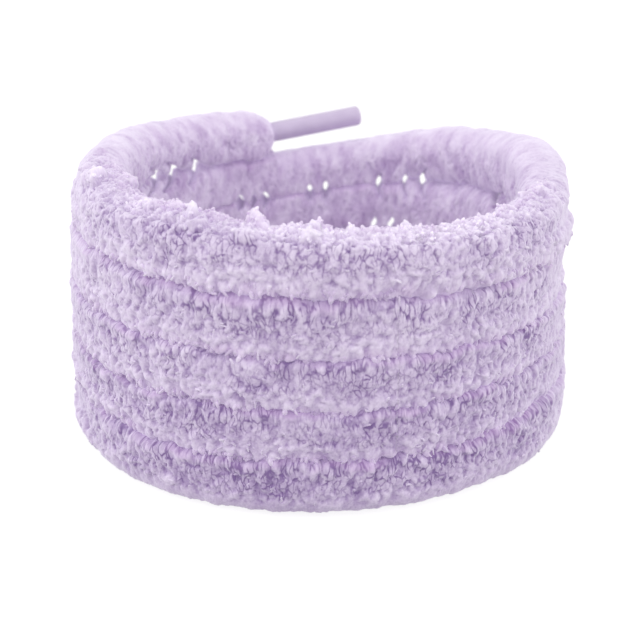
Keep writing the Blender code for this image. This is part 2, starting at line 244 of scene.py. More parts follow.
def slim_height(room, slimmer):
    """Half height that keeps the section just clear of its neighbour along a sloping line."""
    slope_cos, width_part = 0.969, 1.53
    support = np.maximum((slope_cos * room - 1.1) / 2 - 0.3 - slimmer, 1.8)
    return np.sqrt(support ** 2 - width_part) / slope_cos + 0.5


half_up = reach(ROOM_UP) + np.where(ROOM_UP < TOUCH_ROOM, seam(PATH_BEARING - 360.0), 0.0)
half_down = reach(ROOM_DOWN) - np.where(ROOM_DOWN < TOUCH_ROOM, seam(PATH_BEARING), 0.0)
HALF = (half_up, np.minimum(half_down, ROOM_FLOOR))
PRESS = (pressure(ROOM_UP), np.maximum(pressure(ROOM_DOWN), 0.45 * drop(ROOM_FLOOR, 6.6, 0.6)))
OPEN_TOP = step(ROOM_UP, 40.0, 10.0)        # 1 where nothing lies above

DIP = tuple(np.zeros_like(PATH_RUN) for _ in range(2))
SLIM = tuple(np.zeros_like(PATH_RUN) for _ in range(2))
for place, half_width, slimmer in PARTINGS:
    for side, round_ in enumerate((360.0, 0.0)):
        share = bell((PATH_BEARING - place - round_) * MM_PER_DEGREE, 0.0, half_width)
        DIP[side][:] = np.maximum(DIP[side], share)
        SLIM[side][:] = np.maximum(SLIM[side], share * slimmer)
THIN = (slim_height(ROOM_UP, SLIM[0]), slim_height(ROOM_DOWN, SLIM[1]))

# the partings run straight away from the camera, whatever way the lace runs there
sight = (PATH_POINT - EYE) * [1, 1, 0]
sight /= np.linalg.norm(sight, axis=1, keepdims=True)
across = (sight * PATH_OUT).sum(1)
SLANT = np.where(across > 0.3, (sight * PATH_AHEAD).sum(1) / np.maximum(across, 0.3), 0.0)

into_dome = np.maximum(np.maximum(DOME - PATH_RUN, PATH_RUN - (LENGTH - DOME)), 0) / DOME
SHRINK = np.sqrt(np.clip(1 - into_dome ** 2.2, 0.02, 1))


def on_side(run, top, pair):
    return np.where(top, at(run, pair[0]), at(run, pair[1]))


def parting(run, around):
    """Share of a parting at this place, the slimmed half height, and how much slimmer."""
    cos, sin = np.cos(around), np.sin(around)
    run = run - 4.6 * at(run, SLANT) * np.clip(cos / np.maximum(np.abs(sin), 0.3), -1.3, 1.3)
    return tuple(on_side(run, sin > 0, pair) for pair in (DIP, THIN, SLIM))


def section(run, around):
    """Offset (across, up) of the mat at an angle round the section, its outward normal,
    the share of the half height, and how hard this side presses on its neighbour."""
    cos, sin = np.cos(around), np.sin(around)
    top = sin > 0
    dip, thin, _ = parting(run, around)
    press = on_side(run, top, PRESS) * (1 - dip)
    power = 2.1 + np.where(top, 9.0, 5.5) * press       # squarer where pressed
    shrink = at(run, SHRINK)
    wide = (HALF_WIDTH - INSET) * shrink
    high = on_side(run, top, HALF)
    high = high * (1 - dip) + np.minimum(thin, high) * dip
    high = np.maximum(high - INSET * (1 - press), 0.3) * shrink
    distance = ((np.abs(cos) / wide) ** power + (np.abs(sin) / high) ** power) ** (-1 / power)
    x, y = distance * cos, distance * sin
    normal_x = np.sign(x) * np.abs(x / wide) ** (power - 1) / wide
    normal_y = np.sign(y) * np.abs(y / high) ** (power - 1) / high
    size = np.sqrt(normal_x * normal_x + normal_y * normal_y) + 1e-9
    return x, y, normal_x / size, normal_y / size, y / high, press


def unit(vectors):
    return vectors / (np.linalg.norm(vectors, axis=-1, keepdims=True) + 1e-9)


def above_floor(points):
    points[..., 2] = np.maximum(points[..., 2], 0.03)
    return points


def surface(run, around, lift):
    """Point raised by lift over the mat, and the normal there."""
    x, y, normal_x, normal_y, _, _ = section(run, around)
    out = at(run, PATH_OUT)
    normal = out * normal_x[..., None] + UP * normal_y[..., None]
    # near the rounded ends the normal turns along the cord
    into = np.clip(np.maximum(DOME - run, run - (LENGTH - DOME)) / DOME, 0, 1)
    end = np.where(run < DOME, -1.0, 1.0) * into ** 1.5
    normal = unit(normal + at(run, PATH_AHEAD) * end[..., None])
    mat_point = at(run, PATH_POINT) + out * x[..., None] + UP * y[..., None]
    return above_floor(mat_point + normal * lift[..., None]), normal


# ---------------------------------------------------------------------------
# Value noise for clumps, directions and tint
# ---------------------------------------------------------------------------
def lattice_hash(i, j, k, seed):
    """Pseudo-random value 0..1 of an integer lattice point."""
    mixed = (i * 374761393 + j * 668265263 + k * 2147483647 + seed * 974634777) & 0xFFFFFFFF
    mixed = ((mixed ^ (mixed >> 13)) * 1274126177) & 0xFFFFFFFF
    return ((mixed ^ (mixed >> 16)) & 0xFFFFFFFF) / 4294967295.0


def noise(points, size, seed):
    """Smooth value noise in -1..1 with cells of the given size in mm."""
    scaled = points / size
    floor = np.floor(scaled).astype(np.int64)
    part = scaled - floor
    part = part * part * (3 - 2 * part)
    total = 0.0
    for corner in np.ndindex(2, 2, 2):
        wx, wy, wz = (part[..., k] if corner[k] else 1 - part[..., k] for k in range(3))
        lattice = [floor[..., k] + corner[k] for k in range(3)]
        total = total + wx * wy * wz * lattice_hash(*lattice, seed)
    return total * 2 - 1


# ---------------------------------------------------------------------------
# The pile is one relief over the whole lace.  Rows of the grid run along the lace,
# columns round the section: 0 outward, 90 degrees up, 180 to the middle of the coil.
# ---------------------------------------------------------------------------
ROWS = int(round(LENGTH / 0.27))
ROW_STEP = LENGTH / ROWS
COLS = 140
COL_STEP = 2 * np.pi / COLS
FULL_AREA = LENGTH * 2 * np.pi * MEAN_RADIUS


def column_angle(col):
    return (col + 0.5) * COL_STEP - np.pi


def unrolled(run, around, size):
    """Coordinates that follow the lace as if it were straight."""
    return np.stack([run, size * np.cos(around), size * np.sin(around)], -1)


def cell(run, around):
    row = np.clip(np.rint(run / ROW_STEP).astype(int), 0, ROWS)
    col = np.floor((around + np.pi) / COL_STEP).astype(int) % COLS
    return row, col


def sow(start, end, count, weight):
    """Random places between two runs, thinned by a weight over the grid."""
    run = RNG.uniform(start, end, count)
    around = RNG.uniform(-np.pi, np.pi, count)
    row, col = cell(run, around)
    chosen = RNG.uniform(0, 1, count) < weight[row, col]
    return run[chosen], around[chosen], row[chosen], col[chosen]


ROW_RUN = np.arange(ROWS + 1) * ROW_STEP
COL_AROUND = column_angle(np.arange(COLS))
RUN, AROUND = np.meshgrid(ROW_RUN, COL_AROUND, indexing="ij")
SIN, COS = np.sin(AROUND), np.cos(AROUND)
LEVEL, PRESSED = section(RUN, AROUND)[4:]       # level: -1 at the bottom, 1 at the top
BASE = surface(RUN, AROUND, np.zeros_like(RUN))[0]
BEARING = at(RUN, PATH_BEARING)
FRONT = 0.5 - 0.5 * np.sin(np.radians(BEARING))
OPEN = at(RUN, OPEN_TOP)

# Zones across each turn, 0..1; their edges wander a little
OUTER = step(COS, -0.15, 0.3)
wander = 0.24 * noise(BASE, 6.5, 31) + 0.14 * noise(BASE, 2.4, 32)
wavy_level = LEVEL + wander
GROOVE = PRESSED * np.where(LEVEL > 0, step(wavy_level, 0.70, 0.30), step(-wavy_level, 0.96, 0.12))
LUMPS = OUTER * step(-wavy_level, 0.12, 0.25) * (1 - GROOVE)
TIGHT = PRESSED * step(np.abs(LEVEL), 0.80, 0.2)
# the open top of the upper turn, fluffed up towards the front
CREST = OPEN * step(SIN + 0.5 * wander, 0.64, 0.22) * step(BEARING, 150.0, 30.0)
CREST = CREST * step(FRONT, 0.55, 0.18)

# ---------------------------------------------------------------------------
# Swell: the large forms of the pile, in mm over the mat
# ---------------------------------------------------------------------------
# pile reaching across where the two upper turns stand apart, on the lower side of one
# and the upper side of the next: mm, bearing, half width in degrees
BRIDGES = ((0.42, 398.0, 32.0), (0.45, 394.0, 9.0))
# flattened (or, if negative, fuller) places on the outer side, same columns
FLATTENED = ((1.9, 1636.0, 16.0), (-0.5, 1670.0, 16.0), (-1.0, 1762.0, 17.0),
             (0.3, 1280.0, 38.0), (0.5, 718.0, 22.0), (0.7, 186.0, 24.0))
# height of the crest: bearing, mm
CREST_SHAPE = (
    (190, 0.3), (205, 0.8), (212, 1.1), (216, 0.9), (222, -0.9), (226, -1.2), (231, -0.6),
    (235, 0.0), (240, 0.5), (243.5, 0.9), (245.5, 1.1), (247, -0.3), (248.5, -0.7), (251, 0.3),
    (253.5, -0.3), (255, -0.3), (257, -0.8), (258.2, -2.3), (260, -2.7), (262, -2.2),
    (263.6, -1.2), (265.2, -0.5), (267, -1.3), (268.5, 0.5), (270, -1.0), (271.2, -2.5),
    (272.5, -3.4), (274, -3.2), (276, -2.4), (278, -1.6), (280, -1.4), (282, -2.3),
    (284, -3.8), (285, -4.0), (287, -3.2), (289, -2.8), (291, -3.6), (293.5, -2.9),
    (296, -2.5), (299, -2.1), (303, -2.3), (306, -2.0), (308, -2.6), (309.5, -1.5),
    (316, -1.0), (323, -0.9), (330, 0.0), (335, 0.5), (345, 0.0))

SWELL = 0.26 * noise(BASE, 3.0, 3) + 0.15 * noise(BASE, 1.5, 4) + 0.13 * noise(BASE, 0.8, 5) + 0.24
SWELL = SWELL - 1.7 * CREST * step(FRONT, 0.45, 0.3)    # room for the crest's clumps
SWELL = SWELL * (1 - 0.9 * TIGHT)
SWELL = SWELL + 0.42 * GROOVE * (LEVEL > 0) * (1 - 0.4 * TIGHT)
for size, place, width in BRIDGES:
    SWELL = SWELL + size * bell(BEARING, place, width) * step(-SIN, 0.5, 0.3)
    SWELL = SWELL + size * bell(BEARING, place + 360.0, width) * step(SIN, 0.5, 0.3)
# fuller on top of the hump, flattened low down just before it
SWELL = SWELL + 2.7 * bell(BEARING, 374.0, 17.0) * step(SIN, 0.38, 0.5)
flat = 2.8 * bell(BEARING, 357.0, 22.0) * drop(SIN, 0.6, 0.4)
for size, place, width in FLATTENED:
    flat = flat + size * bell(BEARING, place, width)
SWELL = SWELL - step(COS, 0.0, 0.5) * flat
# a little thinner along the bottom of the lowest turn
SWELL = SWELL - 0.10 * step(BEARING, 1480.0, 40.0) * step(-LEVEL, 0.3, 0.4)


def puffs(run, around, size, rise, sink, riding=False):
    """Round clumps of pile: size is the radius, rise the height over the mat or, if
    riding, over the clump they sit on; their rims lie sink below the mat."""
    if riding:
        rise = rise + SWELL[cell(run, around)]
    for middle, angle, wide, high in zip(run, around, size, rise):
        first = max(0, int((middle - wide) / ROW_STEP))
        last = min(ROWS, int((middle + wide) / ROW_STEP) + 1)
        spread = int(wide / (MEAN_RADIUS * COL_STEP)) + 1
        rows = np.arange(first, last + 1)[:, None]
        cols = np.arange(-spread, spread + 1) + int((angle + np.pi) / COL_STEP)
        arc = (column_angle(cols) - angle)[None] * MEAN_RADIUS
        square = ((rows * ROW_STEP - middle) / wide) ** 2 + (arc / wide) ** 2
        ball = -sink + (high + sink) * np.sqrt(np.clip(1 - square, 0, 1))
        here = (rows, (cols % COLS)[None])
        SWELL[here] = np.maximum(SWELL[here], np.where(square < 1, ball, -9.0))


def scatter(density, weight):
    return sow(0.5, LENGTH - 0.5, int(FULL_AREA * density), weight)


# light clumps along the lower edge of every turn
edge_weight = np.clip(LUMPS + 0.25 * GROOVE * (LEVEL < 0), 0, 1) * (1 - step(-LEVEL, 0.90, 0.1))
run, around, row, col = scatter(0.42, edge_weight)
puffs(run, around, size=RNG.uniform(0.7, 1.45, len(run)),
      rise=RNG.uniform(0.30, 0.80, len(run)), sink=0.2)
# tall clumps on the crest
run, around, row, col = scatter(0.30, CREST)
tall = 0.5 + 0.5 * noise(BASE[row, col], 2.7, 8)
puffs(run, around, size=RNG.uniform(1.1, 2.3, len(run)),
      rise=-1.1 + 3.3 * step(tall, 0.42, 0.5) + RNG.uniform(-0.4, 0.5, len(run)), sink=1.2)
CREST_RISE = CREST * np.interp(BEARING, *zip(*CREST_SHAPE))
SWELL = SWELL + CREST_RISE
SWELL = np.maximum(SWELL, -0.9 - 2.0 * CREST)
# small clumps riding on the tall ones: mean size, mean rise, number per square mm
for size, rise, density in ((0.95, 0.50, 0.55), (0.62, 0.34, 1.1)):
    run, around, row, col = scatter(density, CREST)
    puffs(run, around, size=RNG.uniform(0.75, 1.25, len(run)) * size,
          rise=RNG.uniform(0.3, 1.2, len(run)) * rise, sink=0.4, riding=True)

# ---------------------------------------------------------------------------
# Relief: strands laid over the swell, each with a tint; ROUND is 1 along its middle
# ---------------------------------------------------------------------------
RELIEF = SWELL.copy()
TINT = np.full(SWELL.shape, 0.5)
ROUND = np.full(SWELL.shape, 0.25)


def stamp(run, arc, size, lift, tint, widest):
    """Lay round bumps on the relief, the highest one wins.  All (strands, points)."""
    spread = int(math.ceil(widest / ROW_STEP))
    near_row = np.rint(run / ROW_STEP).astype(int)
    near_col = np.floor((arc / MEAN_RADIUS + np.pi) / COL_STEP).astype(int)
    best = np.full(RELIEF.size, -9.0, np.float32)
    best_tint = np.zeros(RELIEF.size, np.float32)
    best_round = np.zeros(RELIEF.size, np.float32)
    for i in range(-spread, spread + 1):
        for j in range(-spread, spread + 1):
            row, col = near_row + i, near_col + j
            square = (row * ROW_STEP - run) ** 2 + (column_angle(col) * MEAN_RADIUS - arc) ** 2
            hit = (square < size * size) & (row >= 0) & (row <= ROWS)
            hit_size = size[hit]
            roundness = np.sqrt(1 - square[hit] / (hit_size * hit_size))
            high = lift[hit] + hit_size * roundness
            index = row[hit] * COLS + col[hit] % COLS
            # rising order, so that the highest bump is written to a cell last
            order = np.argsort(high, kind="stable")
            order = order[high[order] > best[index[order]]]
            index = index[order]
            best[index] = high[order]
            best_tint[index] = tint[hit][order]
            best_round[index] = roundness[order]
    best = best.reshape(RELIEF.shape)
    win = best > RELIEF
    for target, source in ((RELIEF, best), (TINT, best_tint), (ROUND, best_round)):
        target[win] = source.reshape(RELIEF.shape)[win]


def strands(density, length, wide, lift, weight, spread, seed, points):
    """Curly strands; spread is how far they stray from running round the section."""
    run, around, row, col = sow(0, LENGTH, int(FULL_AREA * density), weight)
    count = len(run)

    def each(low, high):
        return RNG.uniform(low, high, count)[:, None]

    root = BASE[row, col]
    lean = spread * (noise(root, 3.0, seed) * 0.9 + noise(root, 1.4, seed + 1) * 0.7
                     + RNG.normal(0, 0.25, count))
    heading = (np.pi / 2 + lean)[:, None]
    along = np.linspace(-0.5, 0.5, points)[None]
    long = each(*length)
    bend = each(-1.0, 1.0) * 1.3
    curl = each(0.5, 1.0)
    angle = heading + bend * along + 0.9 * curl * np.sin(along * 2 * np.pi + each(0, 6.28))
    stride = long / (points - 1)
    run = run[:, None] + np.cumsum(np.cos(angle) * stride, 1) - 0.5 * long * np.cos(heading)
    arc = (MEAN_RADIUS * around[:, None] + np.cumsum(np.sin(angle) * stride, 1)
           - 0.5 * long * np.sin(heading))
    run = np.clip(run, 0, LENGTH)
    size = each(*wide) * (0.62 + 0.38 * np.cos(along * np.pi * 0.95))
    here = cell(run, arc / MEAN_RADIUS)
    tight = TIGHT[here]
    raised = SWELL[here] + each(*lift) * (0.55 + 0.45 * np.cos(along * np.pi))
    raised = raised * (1 - tight)
    size = size * (1 - 0.75 * tight)
    tint = np.clip(0.5 + 0.5 * RNG.normal(0, 0.55, count), 0, 1)[:, None] + 0 * along
    stamp(run, arc, size, raised - 0.5 * size * tight, tint, wide[1])


# long strands outside, short curls on clumps and crest, combed strands inside the coil
strands(density=0.62, length=(2.2, 3.8), wide=(0.42, 0.62), lift=(-0.30, 0.16),
        weight=OUTER * (1 - 0.70 * LUMPS) * (1 - 0.40 * GROOVE) * (1 - CREST),
        spread=0.8, seed=41, points=13)
strands(density=1.1, length=(0.8, 1.7), wide=(0.30, 0.52), lift=(-0.10, 0.26),
        weight=np.clip(LUMPS * 0.8 + CREST * 0.6, 0, 1), spread=2.2, seed=51, points=7)
strands(density=0.9, length=(2.4, 4.4), wide=(0.34, 0.52), lift=(-0.15, 0.30),
        weight=(1 - OUTER) * (1 - 0.8 * GROOVE), spread=0.45, seed=61, points=11)


def blur(field, reach_):
    """Two box blurs over the grid, which closes round the section."""
    for _ in range(2):
        for axis in (0, 1):
            pad = [(reach_, reach_) if i == axis else (0, 0) for i in (0, 1)]
            total = np.cumsum(np.pad(field, pad, mode="wrap" if axis else "edge"), axis=axis)
            zero = np.zeros_like(np.take(total, [0], axis=axis))
            total = np.concatenate([zero, total], axis=axis)
            size = field.shape[axis]
            window = 2 * reach_ + 1
            field = (np.take(total, np.arange(window, window + size), axis=axis)
                     - np.take(total, np.arange(size), axis=axis)) / window
    return field


# the pile lies smoother at the left and right, along the very bottom and at the back
SIDE = OUTER * step(np.abs(np.cos(np.radians(BEARING))), 0.78, 0.2)
LOWEST = step(BEARING, 1430.0, 40.0) * step(-LEVEL, 0.35, 0.35) * (1 - TIGHT)
FAR = 1 - step(FRONT, 0.36, 0.2)
RIM = OPEN * step(SIN, 0.1, 0.4) * (1 - step(FRONT, 0.55, 0.15))
CALM = np.maximum(np.maximum(0.5 * SIDE, 0.72 * LOWEST),
                  np.maximum(0.35 * FAR * (1 - OUTER), 0.75 * RIM))
RELIEF = RELIEF * (1 - CALM) + (blur(RELIEF, 4) + 0.15 * CALM) * CALM
# the pile sinks in at the partings
dips, _, slimmer = parting(RUN, AROUND)
dips = dips * step(np.abs(SIN), 0.35, 0.3)
RELIEF = RELIEF * (1 - dips) - (0.20 + 0.9 * slimmer) * dips

# ---------------------------------------------------------------------------
# Colour fields over the grid: TONE dark to light, with painted shade and painted light in it,
# PINK the pink tint and painted shade of the grooves, CRACK strength of the painted shade lines
# between strands
# ---------------------------------------------------------------------------
hollow_shade = RELIEF - blur(RELIEF, 3)       # negative between strands, positive at tips
streaks = noise(unrolled(RUN, AROUND, 3.6), 1.5, 12)
streaks = streaks + 0.6 * noise(unrolled(RUN, AROUND, 4.0), 3.2, 14)

# painted shade in the hollows between strands and painted light on their tips; each strand also
# takes a random tint, and painted shade along its edges
TONE = 0.47 + 0.30 * (1 - 0.7 * SIDE) * (1 - 0.4 * RIM) * hollow_shade
TONE = TONE + 0.09 * (TINT - 0.5) * (1 - CALM) + 0.11 * (ROUND - 0.6) * (1 - 0.6 * CALM)
# zones: light clumps, painted light on the high crest tips and on the left and right sides,
# a slightly darker open top at the front
TONE = TONE + 0.05 * LUMPS + CREST * (-0.01 + 0.17 * step(RELIEF - CREST_RISE, 0.3, 1.5))
TONE = TONE + 0.06 * SIDE - 0.03 * OPEN * FRONT + 0.07 * noise(BASE, 5.0, 9)
TONE = TONE + (1 - OUTER) * (0.02 + 0.15 * streaks) + 0.04 * OUTER * streaks
# painted shade: darker down the coil
TONE = TONE - 0.15 * np.clip((BEARING - 300.0) / 1300.0, 0, 1)
# painted light on top of the back of turn 1 and the upper tail, painted shade lower down
TONE = TONE + OPEN * FAR * (0.06 * step(SIN, 0.35, 0.5) - 0.07 * drop(SIN, 0.35, 0.6))

# painted shade: the grooves between pressed turns are tinted pink and darkened, most on the lower
# side of a turn
PINK = PRESSED * np.where(LEVEL > 0, step(wavy_level, 0.78, 0.22),
                          0.9 * step(-wavy_level, 0.60, 0.38))
TONE = TONE - 0.07 * PINK * np.where(LEVEL > 0, 0.2, 1.0)
TONE = np.clip(np.maximum(TONE, 0.45 * CREST), 0, 1)
PINK = PINK * (0.75 + 0.5 * noise(BASE, 3.4, 21)) * (1 - 0.45 * SIDE)
PINK = np.clip(PINK + (1 - OUTER) * (0.30 - 0.35 * streaks), 0, 1)

# painted shade lines between strands: fewer on clumps, lower grooves, crest and inside, more on
# the upper half
CRACK = (1 - 0.8 * LUMPS) * (1 - 0.8 * PINK * (LEVEL < 0)) * (1 - 0.85 * CREST)
CRACK = CRACK * (0.35 + 0.65 * OUTER) * (0.75 + 0.45 * step(wavy_level, 0.1, 0.6))
CRACK = CRACK * (1 - 0.6 * SIDE) * (1 - 0.5 * FAR * (1 - OUTER))
CRACK = np.clip(CRACK * np.clip(0.8 + 0.6 * noise(BASE, 4.0, 10), 0, 1.2), 0, 1.3)

CORD_AT = unrolled(RUN, AROUND, MEAN_RADIUS)
RELIEF = np.maximum(RELIEF, -0.9 - 1.8 * CREST)
SKIN = surface(RUN, AROUND, RELIEF)[0]
# loose wisps: everywhere a few, most on the clumps
WISP_WEIGHT = ((0.16 + 0.55 * LUMPS + 0.25 * OUTER) * (1 - TIGHT) * (1 - 0.8 * GROOVE)
               * (1 - CREST) * (1 - 1.3 * CALM) * (1 - 0.7 * SIDE))

# ---------------------------------------------------------------------------
# Mesh parts: (vertices, face arrays, attributes)
# ---------------------------------------------------------------------------
OBJECTS = bpy.data.collections.new("fluffy_lace_coil")
bpy.context.scene.collection.children.link(OBJECTS)


def make_mesh(name, verts, faces, attributes, material):
    """verts (N, 3) in mm; faces: list of integer arrays (M, 3) or (M, 4)."""
    mesh = bpy.data.meshes.new(name)
    mesh.vertices.add(len(verts))
    mesh.vertices.foreach_set("co", (verts * MM).astype(np.float32).ravel())
    loops = np.concatenate([face.ravel() for face in faces]).astype(np.int32)
    sizes = np.concatenate([np.full(len(face), face.shape[1], np.int32) for face in faces])
    starts = np.concatenate([[0], np.cumsum(sizes)[:-1]]).astype(np.int32)
    mesh.loops.add(len(loops))
    mesh.loops.foreach_set("vertex_index", loops)
    mesh.polygons.add(len(sizes))
    mesh.polygons.foreach_set("loop_start", starts)
    mesh.polygons.foreach_set("use_smooth", np.ones(len(sizes), bool))
    for key, values in attributes.items():
        kind, field = ("FLOAT_VECTOR", "vector") if values.ndim == 2 else ("FLOAT", "value")
        attribute = mesh.attributes.new(key, kind, "POINT")
        attribute.data.foreach_set(field, values.astype(np.float32).ravel())
    mesh.update(calc_edges=True)
    mesh.validate()
    mesh.materials.append(material)
    piece = bpy.data.objects.new(name, mesh)
    OBJECTS.objects.link(piece)
    return piece


def ring_faces(rings, sides, first_point, last_point):
    """Faces of a tube of rings: quads, the fan closing its start, the fan closing its end."""
    index = np.arange(rings * sides).reshape(rings, sides)
    after = np.roll(index, -1, axis=1)
    quads = np.stack([index[:-1], after[:-1], after[1:], index[1:]], -1).reshape(-1, 4)
    first = np.stack([np.full(sides, first_point), after[0], index[0]], -1)
    last = np.stack([np.full(sides, last_point), index[-1], after[-1]], -1)
    return quads, first, last


# Columns of the tubes: all where the pile shows, every third where turns press together.
# The upper and tail pieces keep every column of their upper half.
steep = np.abs(np.degrees(COL_AROUND))
kept = ~((steep > 46) & (steep < 134)) | (np.arange(COLS) % 3 == 0)
FINE_COLUMNS = np.nonzero(kept | (COL_AROUND > 0))[0]
COARSE_COLUMNS = np.nonzero(kept)[0]


def tube(first, last, columns):
    """Closed tube between two grid rows; neighbours share their end rows."""
    def cut(field):
        return field[first:last + 1][:, columns]

    def scalar(field):
        return np.concatenate([cut(field).ravel(), [0.5, 0.5]])

    # end points; at a joint they are drawn into the tube
    skin = cut(SKIN)
    inward = 1.2
    start = skin[0].mean(0) + at(ROW_RUN[first], PATH_AHEAD) * (inward if first > 0 else 0.0)
    end = skin[-1].mean(0) - at(ROW_RUN[last], PATH_AHEAD) * (inward if last < ROWS else 0.0)
    rings, sides = skin.shape[:2]
    faces = ring_faces(rings, sides, rings * sides, rings * sides + 1)
    cord = np.concatenate([cut(CORD_AT).reshape(-1, 3),
                           [[ROW_RUN[first], 0, 0], [ROW_RUN[last], 0, 0]]])
    return (np.concatenate([skin.reshape(-1, 3), [start, end]]), faces,
            {"tone": scalar(TONE), "groove": scalar(PINK), "crack": scalar(CRACK), "cord": cord})


def tuft_shape(line, facing, thick, flatness, tip_length, sides):
    """Tapered tubes round the lines (tufts, rings, 3): vertices per tuft, and faces."""
    count, rings = line.shape[:2]
    tangent = unit(np.gradient(line, axis=1))
    across = unit(np.cross(tangent, facing))
    upward = np.cross(across, tangent)
    angle = (np.arange(sides)[None, None, :] * (2 * np.pi / sides)
             + RNG.uniform(0, 6.28, count)[:, None, None])
    thick = thick[..., None]
    ring = (line[:, :, None, :] + across[:, :, None, :] * (np.cos(angle) * thick)[..., None]
            + upward[:, :, None, :] * (np.sin(angle) * flatness * thick)[..., None])
    tip = line[:, -1] + tangent[:, -1] * tip_length
    body = rings * sides
    verts = np.concatenate([ring.reshape(count, body, 3), tip[:, None], line[:, :1]], 1)
    quads, root_fan, tip_fan = ring_faces(rings, sides, body + 1, body)
    # these triangles start on the ring and end at the point
    triangles = np.roll(np.concatenate([tip_fan, root_fan]), -1, axis=1)
    offset = (np.arange(count) * (body + 2))[:, None, None]
    faces = [(offset + quads[None]).reshape(-1, 4), (offset + triangles[None]).reshape(-1, 3)]
    return above_floor(verts), faces


def tuft_part(verts, faces, ring_tone, tip_tone, groove, cord):
    each = verts.shape[1]
    sides = (each - 2) // ring_tone.shape[1]
    tone = np.concatenate([np.repeat(ring_tone, sides, 1), tip_tone, ring_tone[:, :1]], 1)
    groove = np.repeat(groove, each)
    return (verts.reshape(-1, 3), faces,
            {"tone": tone.ravel(), "groove": groove, "crack": 0 * groove, "cord": cord})


def wisps(places, length, wide, heading, stand, tone, sides):
    """Small tapered tufts standing out of the relief at an angle stand."""
    run, around, row, col = places
    along = np.linspace(0, 1, 3)[None]
    curl = RNG.uniform(-0.9, 0.9, len(run))[:, None]
    forward = length[:, None] * along * np.cos(stand)[:, None]
    angle = heading[:, None] + curl * along
    line_run = np.clip(run[:, None] + forward * np.cos(angle), 0.02, LENGTH - 0.02)
    line_around = around[:, None] + forward * np.sin(angle) / MEAN_RADIUS
    lift = RELIEF[row, col][:, None] - 0.30 + (length * np.sin(stand))[:, None] * along
    line, normal = surface(line_run, line_around, lift)
    thick = wide[:, None] * (1.0 - 0.30 * along ** 1.5)
    verts, faces = tuft_shape(line, normal, thick, 1.0, wide[:, None] * 0.45, sides)
    # painted shade at the root, where it sinks into the pile, and painted light towards the tip
    ring_tone = np.clip(tone[:, None] - 0.12 + 0.2 * along, 0, 1)
    tip_tone = np.clip(ring_tone[:, -1:] + 0.05, 0, 1)
    cord = np.repeat(CORD_AT[row, col], verts.shape[1], 0)
    return tuft_part(verts, faces, ring_tone, tip_tone, PINK[row, col], cord)


def fluff(start, end):
    """Loose wisps over the pile, and shorter, thicker ones on the crest."""
    area = (end - start) * 37.7
    places = sow(start, end, int(area * 0.20), WISP_WEIGHT)
    count = len(places[0])
    parts = [wisps(places, length=RNG.uniform(0.7, 1.3, count),
                   wide=RNG.uniform(0.22, 0.36, count), heading=RNG.uniform(0, 6.28, count),
                   stand=RNG.uniform(0.15, 0.6, count), tone=TONE[places[2:]] + 0.06, sides=3)]
    places = sow(start, end, int(area * 0.9), CREST)
    count = len(places[0])
    if count:
        parts.append(wisps(places, length=RNG.uniform(0.45, 0.95, count),
                           wide=RNG.uniform(0.28, 0.46, count),
                           heading=RNG.uniform(0, 6.28, count),
                           stand=RNG.uniform(0.3, 1.1, count),
                           tone=np.clip(TONE[places[2:]] + 0.06, 0.45, 1), sides=4))
    return parts


def drapes(start, end):
    """Tufts that hang from the lower edge of a turn over the groove below it."""
    per_mm = 3.6
    count = int((end - start) * per_mm)
    run = RNG.uniform(start, end, count)
    around = np.radians(-RNG.uniform(33, 46, count))
    keep = (at(run, PRESS[1]) > 0.5) & (at(run, ROOM_DOWN) < 50.0)
    patches = smooth(0.5 + 0.9 * noise(at(run, PATH_POINT), 3.5, 77))
    keep &= RNG.uniform(0, 1, count) < patches
    run, around = run[keep], around[keep]
    count = len(run)
    if count == 0:
        return []
    here = cell(run, around)
    root = surface(run, around, RELIEF[here] - 0.35)[0]
    out, ahead = at(run, PATH_OUT)[:, None], at(run, PATH_AHEAD)[:, None]
    along = np.linspace(0, 1, 4)[None, :, None]
    length = RNG.uniform(0.4, 1.7, count)[:, None, None]
    sway = RNG.normal(0, 0.40, count)[:, None, None]
    swing = RNG.uniform(0.15, 0.45, count)[:, None, None]
    curl = RNG.uniform(-0.5, 0.5, count)[:, None, None]
    line = root[:, None] + length * (-UP * along * 0.95 + out * swing * np.sin(along * 2.6)
                                     + ahead * (sway * along + curl * along * along))
    along = along[..., 0]
    wide = RNG.uniform(0.24, 0.44, count)[:, None]
    thick = wide * (0.75 + 0.45 * np.sin(np.pi * along ** 0.8) - 0.35 * along ** 3)
    verts, faces = tuft_shape(line, out, thick, 0.7, wide * 0.5, sides=4)
    tone = np.clip(TONE[here] + RNG.normal(-0.04, 0.04, count), 0, 1)[:, None]
    tone = tone + 0.04 * (along - 0.4)
    cord = np.repeat(unrolled(run, around, MEAN_RADIUS), verts.shape[1], 0)
    cord = cord + (verts - root[:, None]).reshape(-1, 3) * 0.7
    # the hanging tufts take part of the grooves' pink tint and painted shade
    return [tuft_part(verts, faces, tone, tone[:, -1:], np.full(count, 0.35), cord)]


def join(parts):
    verts, faces, attributes, count = [], {3: [], 4: []}, {}, 0
    for part_verts, part_faces, part_attributes in parts:
        verts.append(part_verts)
        for face in part_faces:
            faces[face.shape[1]].append(face + count)
        for key, values in part_attributes.items():
            attributes.setdefault(key, []).append(values)
        count += len(part_verts)
    return (np.concatenate(verts), [np.concatenate(group) for group in faces.values()],
            {key: np.concatenate(values) for key, values in attributes.items()})


# ---------------------------------------------------------------------------
# Materials
# ---------------------------------------------------------------------------
def srgb(*channels):
    """Linear colour from 8-bit sRGB channels."""
    return tuple(((c / 255.0 + 0.055) / 1.055) ** 2.4 for c in channels) + (1.0,)


